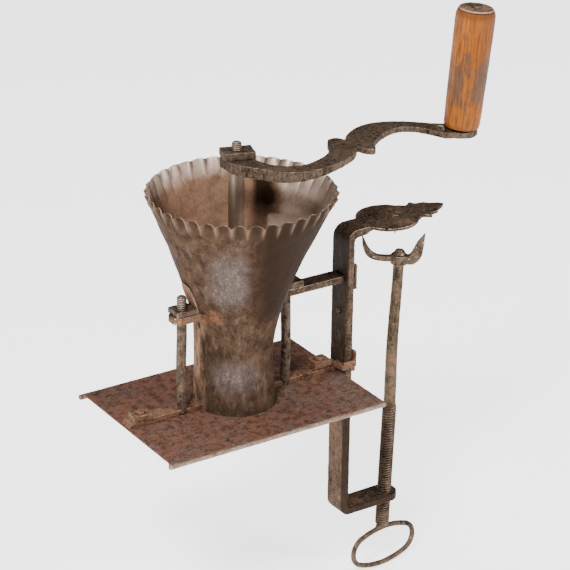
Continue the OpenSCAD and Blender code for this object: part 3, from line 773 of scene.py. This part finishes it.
def shaft_section(z):
    """A square with its corners taken off, smaller where it stands in the arm's boss."""
    half, chamfer = (4.0, 0.5) if z > arm_top - BOSS else (4.95, 1.5)
    corner = [(half, -half + chamfer), (half, half - chamfer), (half - chamfer, half)]
    ring = []
    for q in range(4):
        for x, y in corner:
            p = Vector((*spun(x, y, SHAFT_TURN + q * pi / 2), z))
            ring.append(p * (1 + 0.012 * rough(p, 9)))
    for p in ring:
        p.z = z
    return ring


heights = [10.0 + i * 2 for i in range(90)]
heights += [arm_top - BOSS - 0.01, arm_top - BOSS + 0.01, arm_top - 0.1]
piece("shaft_bar", *skin([shaft_section(z) for z in sorted(heights)]), "crank", SHAFT_IRON,
      "forged_iron", ["drive_shaft"])
verts, faces = rod(lambda s: (0, 0, shaft_lo.z + s), lambda s, a: JOURNAL_R, JOURNAL_H, 3)
piece("shaft_foot", verts, faces, "crank", IRON, "forged_iron")


def stud_radius(s, a):
    z = arm_top - 0.5 + s
    crest = STUD_R + 0.2 - 0.9 * ease((z - shaft_hi.z + 1.2) / 1.2)
    return crest - thread(z, a, BOLT_PITCH, BOLT_DEPTH)


verts, faces = rod(lambda s: (0, 0, arm_top - 0.5 + s), stud_radius,
                   shaft_hi.z - arm_top + 0.5, 0.19, 28)
piece("shaft_stud", verts, faces, "crank", IRON, "forged_iron")


# ---------------------------------------------------------------- grip

GRIP_FOOT = Vector(joint("grip_spin")["pos_m"]) / MM
GRIP_AXIS = Vector(joint("grip_spin")["axis"])
tilt = Vector((0, 0, 1)).rotation_difference(GRIP_AXIS).to_matrix().to_4x4()
to_grip = Matrix.Translation(GRIP_FOOT) @ tilt
WOOD = wood_finish(tuple(tilt.to_euler()), (tilt.inverted() @ GRIP_FOOT).z)
GRIP_LEN = 92.4
SPINDLE_R = 4.05
WOOD_LINE = [(0, 12.5), (1.4, 13.2), (4, 13.8), (20, 14.3), (60, 14.9), (84, 15.2),
             (89.5, 15.0), (GRIP_LEN, 14.0)]


def wood_shape(p, a):
    """Dents in the wood, and its place on the leaning grip."""
    h = p.z
    dent = 0.16 * rough(p, 11, 5) + 0.10 * rough((p.x, p.y, h * 0.15), 3, 9)
    r = hypot(p.x, p.y)
    if r > SPINDLE_R + 1:
        p = Vector((p.x * (1 + dent / r), p.y * (1 + dent / r), h))
    return to_grip @ Vector((p.x, p.y, h + 0.3))


heights = [0.9, 1.4, 2.2, 3, 4] + [i * 1.5 for i in range(4, 59)] + [88.6, 89.6, 90.4, GRIP_LEN]
outline = [(curve_through(WOOD_LINE, h), h) for h in heights]
outline += [(SPINDLE_R, GRIP_LEN), (SPINDLE_R, 0.3), (8, 0.6)]
wood = piece("wooden_handle", *turned(outline, 96, shape=wood_shape), "grip", WOOD,
             "turned_wood", ["wooden_grip"])
soften(wood, 50)

CAP_FROM = GRIP_LEN + 0.6
CAP_T = 2.6
PETALS = 8


def rosette_shape(p, a):
    """Petals chased round the cap."""
    r = hypot(p.x, p.y)
    petal = abs(sin(PETALS * a / 2)) ** 0.6
    carve = 0.0
    if p.z > 0.5 and 3 < r < 12.1:
        carve = 1.2 * (1 - petal) * sin(pi * (r - 3) / 9.1) + 0.25 * (1 + rough(p, 1.6))
    return to_grip @ Vector((p.x, p.y, CAP_FROM + p.z - carve))


outline = [(3.9, 0), (12.9, 0), (13.2, 0.5), (13.1, 1.1), (12.6, 1.6)]
outline += [(r, CAP_T - 0.3 - 0.03 * (r - 6))
            for r in (12.0, 11.2, 10.3, 9.3, 8.3, 7.3, 6.2, 5.2, 4.4)]
outline += [(3.9, CAP_T - 0.4)]
piece("grip_rosette", *turned(outline, 128, shape=rosette_shape), "crank", CAP_IRON,
      "forged_iron", ["grip_cap"])


# ---------------------------------------------------------------- tab beside the grip

ARM_TOP = high_mm("crank_arm").z
TAB_AT, TAB_TURN = Vector((162.0, -32.4, ARM_TOP - 0.4)), radians(-62)
TAB_LONG, TAB_THICK, TAB_TALL, TAB_LEAN = 7.0, 2.0, 4.2, 0.5


def tab_ring(height):
    """A section of the tab, hammered thinner and shorter towards its top."""
    share = height / TAB_TALL
    long, thick = TAB_LONG * (1 - 0.35 * share ** 2) / 2, TAB_THICK * (1 - 0.4 * share) / 2
    ring = []
    for k in range(20):
        a = TURN * k / 20
        x, y = long * cos(a), thick * (1 if sin(a) > 0 else -1) * abs(sin(a)) ** 0.6
        x, y = spun(x, y, TAB_TURN)
        ring.append(TAB_AT + Vector((x - share * TAB_LEAN, y, height)))
    return ring


piece("eye_tab", *skin([tab_ring(TAB_TALL * k / 8) for k in range(9)]), "crank", ARM_IRON,
      "forged_iron")


# ---------------------------------------------------------------- forged pieces

forge("base_plate", SHEET, grain=0.7, hammer=0.25, pits=0.1)
forge("base_strap", RUSTY_IRON, grain=0.5)
forge("strap_bolts", RUSTY_IRON, grain=0.35, hammer=0.2)
forge("strap_nuts", RUSTY_IRON, grain=0.35, hammer=0.4)
forge("corner_clip", RUSTY_IRON, grain=0.3, hammer=0.3)
forge("left_ear", RUSTY_IRON, grain=0.4)
forge("upper_link", IRON, grain=0.45)
forge("link_plate", IRON, grain=0.35)
forge("tie_nuts", ROD_IRON, grain=0.35, hammer=0.4)
forge("clamp_frame", FRAME_IRON, grain=0.6, hammer=0.45)
forge("jaw_spike", IRON, grain=0.3, hammer=0.15)
forge("frame_rivet", IRON, grain=0.25, hammer=0.15)
forge("worm", CUTTING, grain=0.6, hammer=0.2)
forge("crank_arm", ARM_IRON, grain=0.5, hammer=0.4)
forge("crank_nut", ARM_IRON, grain=0.35, hammer=0.45)
forge("grip_spindle", IRON, grain=0.35, hammer=0.1)
forge("clamp_claw", ROD_IRON, grain=0.35, hammer=0.25)
forge("screw_ring", ROD_IRON, grain=0.35, hammer=0.25)
plain("sieve_plate", CUTTING)
plain("turning_knife", CUTTING)


# ---------------------------------------------------------------- stage, light, camera

FLOOR_GLOW = 2.1


def stage_sheet(name, corners, colour):
    mesh = bpy.data.meshes.new(name)
    mesh.from_pydata(corners, [], [(0, 1, 2, 3)])
    f = Finish(name)
    mesh.materials.append(f.close(**{
        "Base Color": colour, "Roughness": 0.9, "Specular IOR Level": 0.0,
        "Emission Color": colour, "Emission Strength": FLOOR_GLOW}))
    obj = bpy.data.objects.new(name, mesh)
    bpy.context.scene.collection.objects.link(obj)


FLOOR_HALF = 25.0
floor_z = cad_box[0].z - 0.0005
corners = [(x * FLOOR_HALF, y * FLOOR_HALF, floor_z)
           for x, y in ((-1, -1), (1, -1), (1, 1), (-1, 1))]
stage_sheet("floor", corners, rgb(0.92, 0.92, 0.92))


AIM = Vector((0.0, 0.0, 0.02))


def softbox(name, place, side, power):
    """A square lamp that faces the part."""
    light = bpy.data.lights.new(name, "AREA")
    light.shape = "RECTANGLE"
    light.size, light.size_y = side, side
    light.energy = power
    obj = bpy.data.objects.new(name, light)
    obj.location = place
    obj.rotation_euler = (AIM - Vector(place)).to_track_quat("-Z", "Y").to_euler()
    bpy.context.scene.collection.objects.link(obj)


softbox("key", (-1.4, -1.2, 2.0), 0.55, 95)
softbox("front_right", (1.4, -1.6, 1.3), 0.7, 48)
softbox("left", (-1.7, 0.1, 0.2), 0.8, 14)

overhead = bpy.data.lights.new("overhead", "SUN")
overhead.energy = 1.6
overhead.angle = radians(50)
overhead_lamp = bpy.data.objects.new("overhead", overhead)
overhead_lamp.rotation_euler = (radians(-14), radians(-10), 0)
bpy.context.scene.collection.objects.link(overhead_lamp)

world = bpy.data.worlds.new("studio")
world.use_nodes = True
world.node_tree.nodes["Background"].inputs["Color"].default_value = rgb(1, 1, 1)
world.node_tree.nodes["Background"].inputs["Strength"].default_value = 0.12
bpy.context.scene.world = world

AZIMUTH, ELEVATION, ROLL = radians(-33.35), radians(24.39), radians(0.75)
TARGET = Vector((-0.03533, -0.12058, 0.150))
DISTANCE = 1.649
back = Vector((sin(AZIMUTH) * cos(ELEVATION), -cos(AZIMUTH) * cos(ELEVATION), sin(ELEVATION)))
right = Vector((0, 0, 1)).cross(back).normalized()
up = back.cross(right)
lens = bpy.data.cameras.new("camera")
lens.sensor_width = 36
lens.lens = 149.7
lens.clip_end = 50
camera = bpy.data.objects.new("camera", lens)
camera.matrix_world = Matrix.Translation(TARGET + back * DISTANCE) @ Matrix((
    right * cos(ROLL) + up * sin(ROLL), up * cos(ROLL) - right * sin(ROLL), back
)).transposed().to_4x4()
bpy.context.scene.collection.objects.link(camera)
bpy.context.scene.camera = camera
